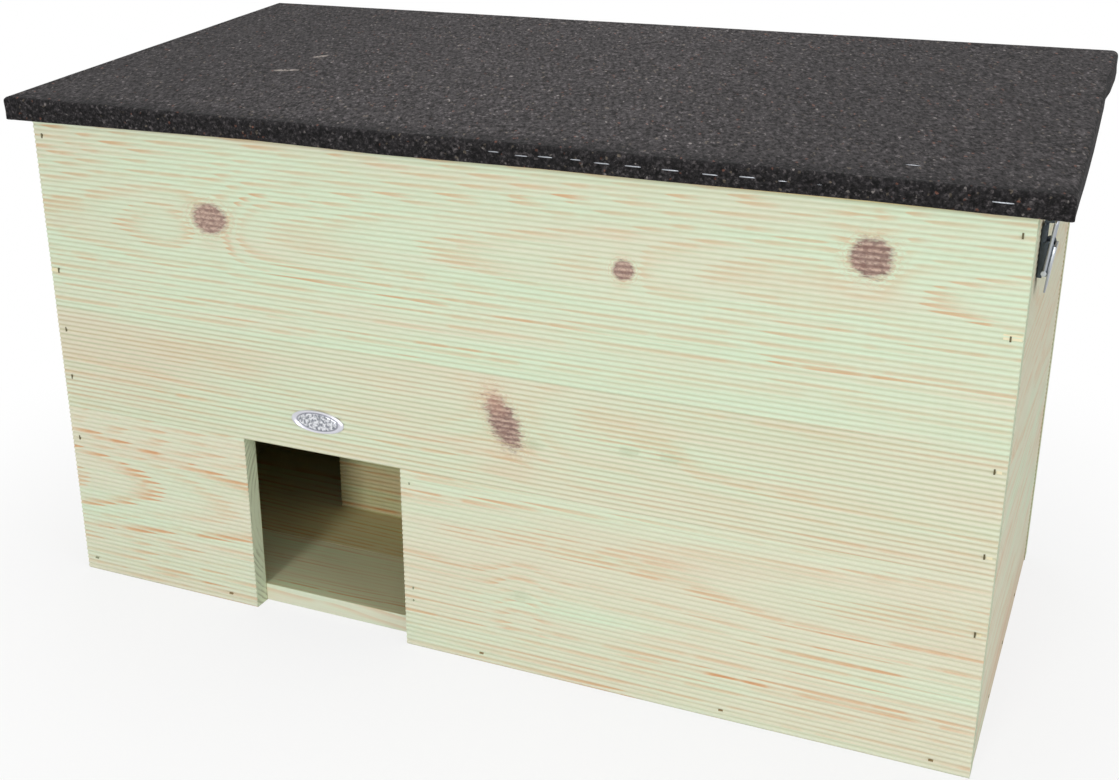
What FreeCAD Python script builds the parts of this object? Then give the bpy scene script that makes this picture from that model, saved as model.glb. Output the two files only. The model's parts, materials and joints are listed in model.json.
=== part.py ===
import FreeCAD, Part
import math
import os

# Hedgehog house: a box of ribbed pine boards with an entrance porch inside and a hinged, felted lid.
# Millimetres, +Z up. The front with the entrance faces -Y, and the origin is under the lid's middle.
# The pieces are drawn with the front face at y = 0 and moved to the origin when they are written.

Vector = FreeCAD.Vector
x_axis = Vector(1, 0, 0)
y_axis = Vector(0, 1, 0)
z_axis = Vector(0, 0, 1)
nowhere = Vector(0, 0, 0)

# Ribbed board: full boards are 38 ribs wide, ripped ones 22
board_width = 120.0
board_thickness = 12.0
board_ribs = 38
ripped_ribs = 22
groove_width = 1.5
groove_depth = 0.9

# Box of the house, over the ribs
house_width = 592.0
house_depth = 279.0

# Entrance in the lowest front row, and the porch wall that turns visitors to the left
entrance_left = 137.5
entrance_width = 111.0
porch_depth = 117.5
porch_passage = 111.0

# Lid: a panel that slopes to the front, with roofing felt turned down over its edges
lid_rise = 25.0
lid_panel_thickness = 12.0
lid_side_overhang = 16.7
lid_front_overhang = 4.5
lid_back_overhang = 18.0
lid_seat_gap = 0.3
felt_thickness = 1.5
felt_edge_radius = 2.5
felt_corner_radius = 3.0

# Butt hinges under the lid's back overhang
hinge_from_end = 106.0
hinge_length = 40.0
hinge_knuckle_radius = 2.75
hinge_pin_radius = 1.25
hinge_leaf_thickness = 1.2
hinge_leaf_width = 9.0

# Toggle latches on the sides under the lid's overhang
latch_from_front = 36.0
latch_base_width = 13.0
latch_base_thickness = 1.0
latch_base_height = 28.0
latch_pivot_stand = 4.0
latch_pivot_below_lid = 23.5
latch_pin_radius = 1.25
latch_ear_radius = 2.4
latch_ear_spacing = 9.8
lever_length = 13.1
lever_wall = 1.0
lever_tip_radius = 2.1
lever_tip_stand = 3.4
lever_top_radius = 2.6
lever_top_stand = 7.9
loop_wire_radius = 0.9
loop_bend_radius = 2.2
loop_end = 0.3

# Strike: the hook on the lid that the loop is pulled over
strike_width = 11.0
strike_thickness = 1.0
strike_from_wall = 0.8
strike_flange = 12.0
strike_drop = 12.0
strike_lip_stand = 5.2
strike_lip_height = 4.0

# Small round metal is drawn with flats, apart from the faces that turn on one another
flats_round = 16
flats_wire = 8
flats_bend = 2

# Fits
pivot_clearance = 0.05
side_clearance = 0.3

# Worked out from the sizes above
rib_pitch = board_width / board_ribs
half_width = house_width / 2
front_height = 2 * board_width + ripped_ribs * rib_pitch
slope = math.atan2(lid_rise, house_depth)
slope_degrees = math.degrees(slope)
lid_thickness = lid_panel_thickness + felt_thickness
lid_front = -lid_front_overhang
lid_back = house_depth / math.cos(slope) + lid_back_overhang
lid_half_width = half_width + lid_side_overhang
inner_front = board_thickness
inner_back = house_depth - board_thickness
inner_depth = inner_back - inner_front
entrance_right = entrance_left + entrance_width
porch_wall_y = inner_front + porch_depth
hinge_drop = hinge_knuckle_radius + side_clearance
lever_half_width = latch_ear_spacing / 2 + side_clearance + lever_wall
loop_half_width = lever_half_width + side_clearance + loop_wire_radius

# The lid's front edge leans forward with the slope, so the felt's rounded edge reaches furthest
reach_front = ((lid_front + felt_edge_radius) * math.cos(slope)
               - (lid_thickness - felt_edge_radius) * math.sin(slope) - felt_edge_radius)
reach_back = lid_back * math.cos(slope)
middle_y = (reach_front + reach_back) / 2


def wall_top(y):
    return front_height + y * math.tan(slope)


def box(x, y, z):
    low = Vector(x[0], y[0], z[0])
    return Part.makeBox(x[1] - x[0], y[1] - y[0], z[1] - z[0], low)


def on_lid(shape):
    """Take a shape from the flat lid, x across, y up the slope and z off the underside, to its place."""
    tilted = shape.rotated(nowhere, x_axis, slope_degrees)
    return tilted.translated(Vector(0, 0, front_height + lid_seat_gap))


def face_of(points):
    return Part.Face(Part.makePolygon(points + points[:1]))


def ribbed_board(length, ribs):
    """A board along +x with its ribs facing -y, their crests at y = 0, and its lower edge at z = 0."""
    height = ribs * rib_pitch
    outline = [Vector(0, board_thickness, 0)]
    for rib in range(ribs):
        start = rib * rib_pitch
        outline.append(Vector(0, groove_depth, start))
        outline.append(Vector(0, 0, start + groove_width / 2))
        outline.append(Vector(0, 0, start + rib_pitch - groove_width / 2))
    outline.append(Vector(0, groove_depth, height))
    outline.append(Vector(0, board_thickness, height))
    return face_of(outline).extrude(Vector(length, 0, 0))


def facing_front(length, ribs, x, y, z):
    return ribbed_board(length, ribs).translated(Vector(x, y, z))


def facing_back(length, ribs, x, y, z):
    board = ribbed_board(length, ribs).rotated(nowhere, z_axis, 180)
    return board.translated(Vector(x + length, y, z))


def facing_right(length, ribs, x, y, z):
    board = ribbed_board(length, ribs).rotated(nowhere, z_axis, 90)
    return board.translated(Vector(x, y, z))


def facing_left(length, ribs, x, y, z):
    board = ribbed_board(length, ribs).rotated(nowhere, z_axis, -90)
    return board.translated(Vector(x, y + length, z))


def ribs_to(height):
    return math.ceil(height / rib_pitch)


def cut_to_lid(board):
    """Saw a board off along the slope that the lid sits on."""
    above = box((-house_width, house_width), (-house_depth, 2 * house_depth), (0, house_depth))
    above = above.rotated(nowhere, x_axis, slope_degrees)
    return board.cut(above.translated(Vector(0, 0, front_height)))


def front_boards():
    left = -half_width
    middle_z = board_width
    top_z = board_width + ripped_ribs * rib_pitch
    top_ribs = ribs_to(wall_top(board_thickness) - top_z)
    right_length = house_width - entrance_right
    return {
        "front_lower_left_board": facing_front(entrance_left, board_ribs, left, 0, 0),
        "front_lower_right_board": facing_front(right_length, board_ribs, left + entrance_right, 0, 0),
        "front_middle_board": facing_front(house_width, ripped_ribs, left, 0, middle_z),
        "front_top_board": cut_to_lid(facing_front(house_width, top_ribs, left, 0, top_z)),
    }


def side_boards(name, place, x):
    top_z = 2 * board_width
    top_ribs = ribs_to(wall_top(inner_back) - top_z)
    return {
        name + "_side_lower_board": place(inner_depth, board_ribs, x, inner_front, 0),
        name + "_side_middle_board": place(inner_depth, board_ribs, x, inner_front, board_width),
        name + "_side_top_board": cut_to_lid(place(inner_depth, top_ribs, x, inner_front, top_z)),
    }


def back_boards():
    left = -half_width
    top_z = 2 * board_width
    top_ribs = ribs_to(wall_top(house_depth) - top_z)
    return {
        "back_lower_board": facing_back(house_width, board_ribs, left, house_depth, 0),
        "back_middle_board": facing_back(house_width, board_ribs, left, house_depth, board_width),
        "back_top_board": cut_to_lid(facing_back(house_width, top_ribs, left, house_depth, top_z)),
    }


def floor_boards():
    """Three smooth boards laid between the walls; the front one is ripped to what is left."""
    half = half_width - board_thickness
    rear_y = inner_back - ripped_ribs * rib_pitch
    seams = [inner_front, rear_y - board_width, rear_y, inner_back]
    names = ["floor_front_board", "floor_middle_board", "floor_rear_board"]
    return {name: box((-half, half), seams[i:i + 2], (0, board_thickness)) for i, name in enumerate(names)}


def porch_boards():
    """The porch wall beside the entrance and the one behind it, which leaves a passage at its left end."""
    side_x = -half_width + entrance_right
    back_x = -half_width + board_thickness + porch_passage
    back_length = side_x + board_thickness - back_x
    boards = {}
    for row, name in enumerate(["lower", "upper"]):
        z = board_thickness + row * board_width
        boards["porch_side_%s_board" % name] = facing_left(porch_depth, board_ribs, side_x, inner_front, z)
        boards["porch_back_%s_board" % name] = facing_front(back_length, board_ribs, back_x, porch_wall_y, z)
    return boards


def roof_panel():
    half = lid_half_width - felt_thickness
    along = (lid_front + felt_thickness, lid_back - felt_thickness)
    return on_lid(box((-half, half), along, (0, lid_panel_thickness)))


def roofing_felt():
    """Felt over the panel and down its four edges, with rounded folds."""
    outer = box((-lid_half_width, lid_half_width), (lid_front, lid_back), (0, lid_thickness))
    corners = [edge for edge in outer.Edges if edge.BoundBox.ZLength > lid_thickness / 2]
    outer = outer.makeFillet(felt_corner_radius, corners)
    top = max(outer.Faces, key=lambda face: face.CenterOfMass.z)
    outer = outer.makeFillet(felt_edge_radius, top.Edges)
    return on_lid(outer).cut(roof_panel())


# The hinge's axis lies behind the back wall and under the lid, clear of both by the knuckle
hinge_y = house_depth + hinge_drop
hinge_z = front_height + lid_seat_gap + hinge_y * math.tan(slope) - hinge_drop / math.cos(slope)
hinge_up_lid = (hinge_y * math.cos(slope)
                + (hinge_z - front_height - lid_seat_gap) * math.sin(slope))


def arc_points(centre, start, axis, degrees, flats):
    """Points along an arc that begins at start and turns about an axis through its centre."""
    turns = [FreeCAD.Rotation(axis, degrees * flat / flats) for flat in range(flats + 1)]
    return [centre + turn.multVec(start - centre) for turn in turns]


def knuckles(leaf, thirds):
    """Roll a leaf, flat along +y with its face at z = 0, round the pin under its edge at the thirds named."""
    third = hinge_length / 3
    length = third - side_clearance
    shape = leaf
    for i in thirds:
        start = -hinge_length / 2 + i * third + side_clearance / 2
        tab = box((start, start + length), (0, hinge_drop), (-hinge_leaf_thickness, 0))
        centre = Vector(start, 0, -hinge_drop)
        rim = arc_points(centre, centre + z_axis * hinge_knuckle_radius, x_axis, 360, flats_round)
        roll = face_of(rim[1:]).extrude(x_axis * length)
        shape = shape.fuse([tab, roll])
    bore = Part.makeCylinder(hinge_pin_radius + pivot_clearance, hinge_length,
                             Vector(-hinge_length / 2, 0, -hinge_drop), x_axis)
    return shape.cut(bore).removeSplitter()


def hinge_leaf(thirds):
    """One leaf, screwed to the plane z = 0 above it, with the pin's axis along x at y = 0."""
    half = hinge_length / 2
    leaf = box((-half, half), (hinge_drop, hinge_drop + hinge_leaf_width), (-hinge_leaf_thickness, 0))
    return knuckles(leaf, thirds)


def under_lid(shape, x):
    """Put a shape that was drawn against the plane z = 0 under the lid, at the hinge."""
    return on_lid(shape.translated(Vector(x, hinge_up_lid, 0)))


def on_back_wall(shape, x):
    """Put a shape that was drawn against the plane z = 0 on the back wall, hanging down from the hinge."""
    hanging = shape.rotated(nowhere, x_axis, 90).rotated(nowhere, y_axis, 180)
    return hanging.translated(Vector(x, house_depth, hinge_z))


def hinges():
    pieces = {}
    from_middle = half_width - hinge_from_end
    for name, x in (("left", -from_middle), ("right", from_middle)):
        pieces[name + "_hinge_back_leaf"] = on_back_wall(hinge_leaf([0, 2]), x)
        pieces[name + "_hinge_lid_leaf"] = under_lid(hinge_leaf([1]), x)
        start = Vector(x - hinge_length / 2, hinge_y, hinge_z)
        pieces[name + "_hinge_pin"] = Part.makeCylinder(hinge_pin_radius, hinge_length, start, x_axis)
    return pieces


# The latch is drawn on the right wall: x off the wall, y across the latch, z up from the lever's pivot
latch_z = wall_top(latch_from_front) - latch_pivot_below_lid
strike_up_lid = latch_from_front / math.cos(slope)
loop_top_stand = strike_lip_stand + side_clearance + loop_wire_radius
loop_top_z = latch_pivot_below_lid - strike_drop + strike_lip_height / 2
loop_rise = loop_top_z + lever_length
loop_length = math.hypot(loop_rise, loop_top_stand - lever_tip_stand)
loop_lean = math.degrees(math.atan2(loop_top_stand - lever_tip_stand, loop_rise))


def latch_base():
    """A plate on the wall with two ears that carry the lever's pin."""
    half = latch_base_width / 2
    top = lever_top_radius
    plate = box((0, latch_base_thickness), (-half, half), (top - latch_base_height, top))
    pin = Vector(latch_pivot_stand, 0, 0)
    low = -z_axis * latch_ear_radius
    eye = arc_points(pin, pin + low, y_axis, -180, flats_round // 2)
    ear = face_of([low] + eye + [-low]).extrude(y_axis * lever_wall)
    spots = [-latch_ear_spacing / 2, latch_ear_spacing / 2 - lever_wall]
    base = plate.fuse([ear.translated(y_axis * y) for y in spots]).removeSplitter()
    return base.cut(pivot_bore(latch_pivot_stand, 0, latch_pin_radius))


def pivot_bore(x, z, radius):
    half = latch_base_width
    return Part.makeCylinder(radius + pivot_clearance, 2 * half, Vector(x, -half, z), y_axis)


def lever_wall_face():
    """A wall of the lever seen from the front: round at the pin and at the tip, with a sloping outer edge."""
    tip = Vector(lever_tip_stand, 0, -lever_length)
    pin = Vector(latch_pivot_stand, 0, 0)
    low = arc_points(tip, tip - x_axis * lever_tip_radius, y_axis, -180, flats_round // 2)
    high = arc_points(pin, pin + x_axis * lever_top_radius, y_axis, -180, flats_round // 2)
    return face_of(low + [x_axis * lever_top_stand] + high)


def latch_lever():
    """A pressed channel: a sloping web with a wall down each side."""
    wide = 2 * lever_half_width
    wall = lever_wall_face().extrude(y_axis * lever_wall)
    low = Vector(lever_tip_stand + lever_tip_radius, 0, -lever_length)
    high = Vector(lever_top_stand, 0, 0)
    inward = x_axis * lever_wall
    web = face_of([low, high, high - inward, low - inward]).extrude(y_axis * wide)
    lever = web.fuse([wall, wall.translated(y_axis * (wide - lever_wall))])
    lever = lever.translated(-y_axis * lever_half_width)
    lever = lever.cut(pivot_bore(latch_pivot_stand, 0, latch_pin_radius))
    return lever.cut(pivot_bore(lever_tip_stand, -lever_length, loop_wire_radius)).removeSplitter()


def latch_loop():
    """A wire bail: its ends turn in through the lever's tip and its bar stands outside the strike's lip."""
    end = -y_axis * lever_half_width
    foot_radius = loop_half_width - lever_half_width
    foot = arc_points(end + z_axis * foot_radius, end, x_axis, -90, flats_bend)
    shoulder = Vector(0, -loop_half_width, loop_length - loop_bend_radius)
    head = arc_points(shoulder + y_axis * loop_bend_radius, shoulder, x_axis, -90, flats_bend)
    near = foot + head
    far = [Vector(0, -point.y, point.z) for point in reversed(near)]
    path = Part.makePolygon(near + far)
    ring = arc_points(end, end + x_axis * loop_wire_radius, y_axis, 360, flats_wire)
    wire = path.makePipeShell([Part.makePolygon(ring)], True, False, 1)
    turned_in = Part.makeCylinder(loop_wire_radius, lever_wall + loop_end, end, y_axis)
    loop = wire.fuse([turned_in, turned_in.mirror(nowhere, y_axis)])
    leaning = loop.rotated(nowhere, y_axis, loop_lean)
    return leaning.translated(Vector(lever_tip_stand, 0, -lever_length))


def latch_strike():
    """A hooked plate under the lid's overhang, with the wall at x = 0 and the lid's underside at z = 0."""
    near = strike_from_wall
    thick = strike_thickness
    low = -strike_drop
    lip = strike_lip_stand
    far = near + strike_flange
    outline = [(near, 0), (near, low), (lip, low), (lip, low + strike_lip_height),
               (lip - thick, low + strike_lip_height), (lip - thick, low + thick),
               (near + thick, low + thick), (near + thick, -thick), (far, -thick), (far, 0)]
    profile = face_of([Vector(x, -strike_width / 2, z) for x, z in outline])
    return profile.extrude(Vector(0, strike_width, 0))


def latches():
    """One latch on each side, the left one a mirror of the right."""
    at_wall = Vector(half_width, latch_from_front, latch_z)
    at_lid = Vector(half_width, strike_up_lid, 0)
    pin_start = Vector(latch_pivot_stand, -lever_half_width, 0)
    right = {
        "latch_base": latch_base().translated(at_wall),
        "latch_pin": Part.makeCylinder(latch_pin_radius, 2 * lever_half_width, pin_start + at_wall, y_axis),
        "latch_lever": latch_lever().translated(at_wall),
        "latch_loop": latch_loop().translated(at_wall),
        "latch_strike": on_lid(latch_strike().translated(at_lid)),
    }
    pieces = {"right_" + name: shape for name, shape in right.items()}
    pieces.update({"left_" + name: shape.mirror(nowhere, x_axis) for name, shape in right.items()})
    return pieces


def house():
    boards = front_boards()
    boards.update(side_boards("left", facing_left, -half_width))
    boards.update(side_boards("right", facing_right, half_width))
    boards.update(back_boards())
    boards.update(floor_boards())
    boards.update(porch_boards())
    lid = {"roof_panel": roof_panel(), "roofing_felt": roofing_felt()}
    return {**boards, **lid, **hinges(), **latches()}


os.makedirs("parts", exist_ok=True)
for node, shape in house().items():
    shape.translated(Vector(0, -middle_y, 0)).exportStep("parts/%s.step" % node)
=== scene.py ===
import json
import math
from functools import partial

import bmesh
import bpy
import numpy as np
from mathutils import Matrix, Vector


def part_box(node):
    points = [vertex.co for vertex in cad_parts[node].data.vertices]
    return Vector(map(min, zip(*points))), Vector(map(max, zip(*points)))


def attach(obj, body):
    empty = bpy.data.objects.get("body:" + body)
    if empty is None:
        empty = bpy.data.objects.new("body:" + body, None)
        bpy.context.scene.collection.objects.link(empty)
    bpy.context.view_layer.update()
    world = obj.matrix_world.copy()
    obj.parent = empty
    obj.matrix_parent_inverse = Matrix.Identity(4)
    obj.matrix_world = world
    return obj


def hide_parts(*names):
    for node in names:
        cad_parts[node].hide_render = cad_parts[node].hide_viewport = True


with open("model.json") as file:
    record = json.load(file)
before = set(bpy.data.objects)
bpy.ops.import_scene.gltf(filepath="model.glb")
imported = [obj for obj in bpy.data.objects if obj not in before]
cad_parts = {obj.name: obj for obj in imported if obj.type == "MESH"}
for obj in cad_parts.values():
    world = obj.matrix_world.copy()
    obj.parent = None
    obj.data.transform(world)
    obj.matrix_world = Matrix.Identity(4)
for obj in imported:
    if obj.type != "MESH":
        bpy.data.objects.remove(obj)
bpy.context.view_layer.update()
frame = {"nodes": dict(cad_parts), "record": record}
nodes = frame["nodes"]
print("frame loaded:", len(nodes), "nodes")

mm = 0.001  # sizes are in millimetres in the part's frame, and meshes are written in metres


def boxOf(node):
    return [np.array(corner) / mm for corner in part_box(node)]


wallLow = boxOf("front_lower_left_board")[0]
house = {"halfWidth": -wallLow[0], "front": wallLow[1], "back": boxOf("back_lower_board")[1][1],
         "board": 12.0, "row": 120.0, "rise": 25.0, "rowRibs": 38, "middleRibs": 22}
# line is how far the dashes of the grain lie below a groove, as a share of a rib
ribs = {"pitch": house["row"] / house["rowRibs"], "depth": 0.70, "shoulder": 0.06, "seam": 0.03, "line": 0.05,
        "waves": [(420.0, 0.10), (170.0, 0.06)], "sunk": 0.16}
house["frontHeight"] = 2 * house["row"] + house["middleRibs"] * ribs["pitch"]
slope = math.atan2(house["rise"], house["back"] - house["front"])
slopeCos, slopeSin = math.cos(slope), math.sin(slope)


def linear(code):  # sRGB hex to linear colour
    raw = [int(code[i:i + 2], 16) / 255 for i in (1, 3, 5)]
    return tuple(c / 12.92 if c <= 0.04045 else ((c + 0.055) / 1.055) ** 2.4 for c in raw) + (1.0,)


# settings that many nodes share
times, plus, minus, over = ({"operation": name} for name in ("MULTIPLY", "ADD", "SUBTRACT", "DIVIDE"))
timesPlus, dot = {"operation": "MULTIPLY_ADD"}, {"operation": "DOT_PRODUCT"}
absolute = {"operation": "ABSOLUTE"}
smooth = {"interpolation_type": "SMOOTHSTEP"}
mixed = {"data_type": "RGBA"}
multiplied = {"data_type": "RGBA", "blend_type": "MULTIPLY"}


# a socket takes a value, a link from another socket, or a link from the first output that a node has in use
def feed(tree, socket, value):
    if isinstance(value, bpy.types.Node):
        value = next(output for output in value.outputs if output.enabled)
    if isinstance(value, bpy.types.NodeSocket):
        tree.links.new(value, socket)
    else:
        socket.default_value = value


# a node with its settings and a ramp's stops; its inputs in use are fed in order, and others by name
def addNode(tree, kind, *values, named=None, stops=(), **settings):
    node = tree.nodes.new("ShaderNode" + kind)
    for key, value in settings.items():
        setattr(node, key, value)
    for stop, (place, shade) in enumerate(stops):
        if stop > 1:
            node.color_ramp.elements.new(1.0)
        element = node.color_ramp.elements[stop]
        element.position = place
        element.color = shade if isinstance(shade, tuple) else (shade, shade, shade, 1.0)
    for socket, value in zip([socket for socket in node.inputs if socket.enabled], values):
        feed(tree, socket, value)
    for key, value in (named or {}).items():
        feed(tree, node.inputs[key], value)
    return node


# a material, and the function that adds nodes to it
def newMaterial(name):
    material = bpy.data.materials.new(name)
    material.use_nodes = True
    return material, partial(addNode, material.node_tree)


def setSurface(material, values):
    shader = material.node_tree.nodes["Principled BSDF"]
    for key, value in values.items():
        feed(material.node_tree, shader.inputs[key], value)
    return material


# one colour over another by a smooth step: none where the field is at low, and as much as most says at high
def layer(add, colour, paint, field, low, high, most=1.0):
    return add("Mix", add("MapRange", field, low, high, 0.0, most, **smooth), colour, paint, **mixed)


# the distance of a spot from a middle, measured in half lengths that are turned by an angle in degrees
def ellipse(add, spot, middle, half, turn=0.0):
    away = add("Mapping", spot, middle, (0, 0, math.radians(turn)), half, vector_type="TEXTURE")
    return add("VectorMath", away, operation="LENGTH")


# a bell over a middle: e to the power of minus the square of the distance, which is measured in its reach
def bell(add, spot, middle, reach):
    away = ellipse(add, spot, (*middle, 0), (*reach, 1))
    return add("Math", 1 / math.e, add("Math", away, away, **times), operation="POWER")


# quads between closed rings of points
def ringFaces(rows, cols):
    r, c = np.meshgrid(np.arange(rows - 1), np.arange(cols), indexing="ij")
    after = (c + 1) % cols
    quads = [r * cols + c, r * cols + after, (r + 1) * cols + after, (r + 1) * cols + c]
    return np.stack(quads, -1).reshape(-1, 4).tolist()


# the same with a face over each end
def closedFaces(rows, cols):
    return ringFaces(rows, cols) + [list(range(cols))[::-1], list(range((rows - 1) * cols, rows * cols))]


# several shells, each points and faces, as one
def gather(shells):
    starts = np.cumsum([0] + [len(shell[0]) for shell in shells]).tolist()
    faces = [[i + start for i in face] for start, shell in zip(starts, shells) for face in shell[1]]
    return np.concatenate([shell[0] for shell in shells]), faces


# a box between two corners
def block(low, high):
    corners = [(x, y, z) for x in (low[0], high[0]) for y in (low[1], high[1]) for z in (low[2], high[2])]
    faces = [(0, 1, 3, 2), (4, 6, 7, 5), (0, 4, 5, 1), (2, 3, 7, 6), (0, 2, 6, 4), (1, 5, 7, 3)]
    return np.array(corners, float), faces


# an outline in the x-z plane carried along y from low to high
def prism(outline, low, high):
    sides = [np.insert(np.asarray(outline, float), 1, y, axis=1) for y in (low, high)]
    return np.concatenate(sides), closedFaces(2, len(outline))


# a circle carried along a path that lies in the plane with the given normal, with closed ends
def tube(path, normal, radius, sides=16):
    path, normal = np.asarray(path, float), np.asarray(normal, float)
    along = np.gradient(path, axis=0)
    along /= np.linalg.norm(along, axis=1, keepdims=True)
    beside = np.cross(along, normal)
    angle = np.linspace(0, 2 * math.pi, sides, endpoint=False)[None, :, None]
    rings = path[:, None, :] + radius * (np.cos(angle) * beside[:, None, :] + np.sin(angle) * normal)
    return rings.reshape(-1, 3), closedFaces(len(path), sides)


# points on an arc, between two angles in degrees
def arcOf(x, z, radius, start, end, count=13):
    angle = np.radians(np.linspace(start, end, count))
    return np.stack([x + radius * np.cos(angle), z + radius * np.sin(angle)], 1)


# a smooth uneven line: a few sine waves (length, height) with seeded phases
def wobble(along, seed, waves):
    phases = np.random.default_rng(seed).uniform(0, 2 * math.pi, len(waves))
    return sum(height * np.sin(2 * math.pi * along / length + phase)
               for (length, height), phase in zip(waves, phases))


def addObject(name, data):
    item = bpy.data.objects.new(name, data)
    bpy.context.scene.collection.objects.link(item)
    return item


def newMesh(name, points, faces):
    mesh = bpy.data.meshes.new(name)
    mesh.from_pydata(np.asarray(points).tolist(), [], faces)
    return mesh


sharpFrom = 40.0  # a bevel eases the edges that turn by more degrees than this


# a piece of the model from points in metres: finish tells its faces' materials, a saw cuts it along a
# plane, a bevel eases its edges, and it is shaded smooth up to an angle in degrees
def makePiece(name, shell, looks, body, replaced=None, angle=35.0, bevel=0.0, finish=None, saw=None):
    mesh = newMesh(name, *shell)
    if finish is not None:
        mesh.polygons.foreach_set("material_index", np.asarray(finish, np.int32))
    work = bmesh.new()
    work.from_mesh(mesh)
    if saw:
        everything = work.verts[:] + work.edges[:] + work.faces[:]
        cut = bmesh.ops.bisect_plane(work, geom=everything, plane_co=saw[0], plane_no=saw[1],
                                     clear_outer=True)
        rim = [item for item in cut["geom_cut"] if isinstance(item, bmesh.types.BMEdge)]
        bmesh.ops.contextual_create(work, geom=rim)
    if bevel:
        between = [edge for edge in work.edges if len(edge.link_faces) == 2]
        sharp = [edge for edge in between if edge.calc_face_angle() > math.radians(sharpFrom)]
        bmesh.ops.bevel(work, geom=sharp, offset=bevel * mm, segments=2, profile=0.5, affect="EDGES",
                        clamp_overlap=True)
    bmesh.ops.recalc_face_normals(work, faces=work.faces[:])
    work.to_mesh(mesh)
    work.free()
    mesh.validate()
    mesh.shade_smooth()
    mesh.set_sharp_from_angle(angle=math.radians(angle))
    for look in looks if isinstance(looks, list) else [looks]:
        mesh.materials.append(look)
    piece = addObject(name, mesh)
    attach(piece, body)
    if replaced:
        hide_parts(replaced)
    return piece


# treated pine: pale green from the copper salts, with orange latewood lines that follow growth rings through
# the solid, so that the ribs break them into dashes, and knots that push the rings aside
pineCodes = {"green": "#d5e5cc", "beige": "#dddcc6", "pink": "#dccab4", "latewood": "#d59c6b",
             "dark": "#b9804f", "groove": "#bbbc9a", "brown": "#cba88a", "endGrain": "#c9d4b6",
             "endRing": "#98a184", "knot": "#c2a698", "knotDark": "#6d4b4a", "rim": "#d0ab88",
             "blush": "#dcae94", "stain": "#a3ae8c", "inside": "#cfc3a4"}
pine = {name: linear(code) for name, code in pineCodes.items()}
# its patterns: sizes along, up and into the board in millimetres, then detail and roughness
grain = {"drift": ((142.857, 62.5, 62.5), 2.0, 0.45), "torn": ((4.54545, 1.11111, 3.33333), 3.0, 0.65),
         "patch": ((166.667, 33.3333, 10.0), 2.0, 0.5), "bands": ((222.222, 22.2222, 25.0), 3.0, 0.55),
         "blush": ((333.333, 50.0, 20.0), 2.0, 0.5), "stain": ((125.0, 11.1111, 10.0), 2.0, 0.5),
         "fibre": ((33.3333, 0.625, 0.625), 3.0, 0.6), "speckle": ((2.85714, 2.0, 2.0), 3.0, 0.6),
         "hatch": ((10.0, 20.0, 8.33333), 2.0, 0.5)}
# pull draws patterns to the grooves, apart from the fine ones; years are uneven over a length of radius and
# shaken from rib to rib; dashes vary over a length along the board, and apart from rib to rib and board to
# board; the pith line wanders up and into a board, and steps set the boards' patterns apart
wood = {"fine": ("fibre", "speckle", "hatch"), "pull": 0.85, "years": 6.25, "uneven": 1.4, "shaken": 0.16,
        "dashes": 28.5714, "apart": (7.3, 9.0), "wander": (6.0, 5.0), "steps": (613.0, 71.0, 37.0),
        "late": [(0.0, 0.0), (0.45, 0.0), (0.78, 1.0), (0.92, 1.0), (0.99, 0.0)],
        "arcs": [(0.0, 0.0), (0.5, 0.0), (0.8, 1.0), (1.0, 0.0)], "rough": 0.72, "shine": 0.25, "relief": 0.2}
# a knot where nothing else is said: dark is how far it stands out, push how many millimetres the rings move
plainKnot = {"tilt": 0.0, "dark": 1.0, "push": 10.0, "ragged": 0.75, "speckle": 0.4, "grooves": 0.6,
             "firm": 0.8, "colour": "stain"}
faintKnot = 0.3


# distances from a board's knots, measured in their half sizes, and a field that is one close to a plain one
def knotDistances(add, look, face):
    knots, near = [], 0.0
    for given in look["knots"]:
        knot = {**plainKnot, **given}
        half = [length / 2 for length in knot["size"]]
        distance = ellipse(add, face, (*knot["at"], 0), (*half, 1), knot["tilt"])
        knots.append((knot, distance))
        if knot["dark"] > faintKnot:
            near = add("Math", near, add("MapRange", distance, 2.6, 1.3, **smooth), operation="MAXIMUM")
    return knots, near


# growth rings: the distance from a pith line that leans and wanders along the board; they swell round a
# branch, and this falls off over its size along the board and half as much again up it
def growthRings(add, look, knots, drift, spot):
    along, level, depth = spot
    leans = (look["swerve"], look["taper"])
    offsets = []
    for start, pith, lean, wander, reach in zip((level, depth), look["pith"], leans, drift, wood["wander"]):
        straight = add("Math", along, lean, add("Math", start, pith, **minus), **timesPlus)
        offsets.append(add("Math", add("Math", wander, 0.5, **minus), reach, straight, **timesPlus))
    radius = add("VectorMath", add("CombineXYZ", 0.0, *offsets), operation="LENGTH")
    lines = add("CombineXYZ", along, level)
    for knot, distance in knots:
        reach = 0.9 * max(knot["size"])
        swell = bell(add, lines, knot["at"], (reach, reach / math.sqrt(0.4)))
        radius = add("Math", swell, knot["push"], radius, **timesPlus)
    return radius


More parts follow.
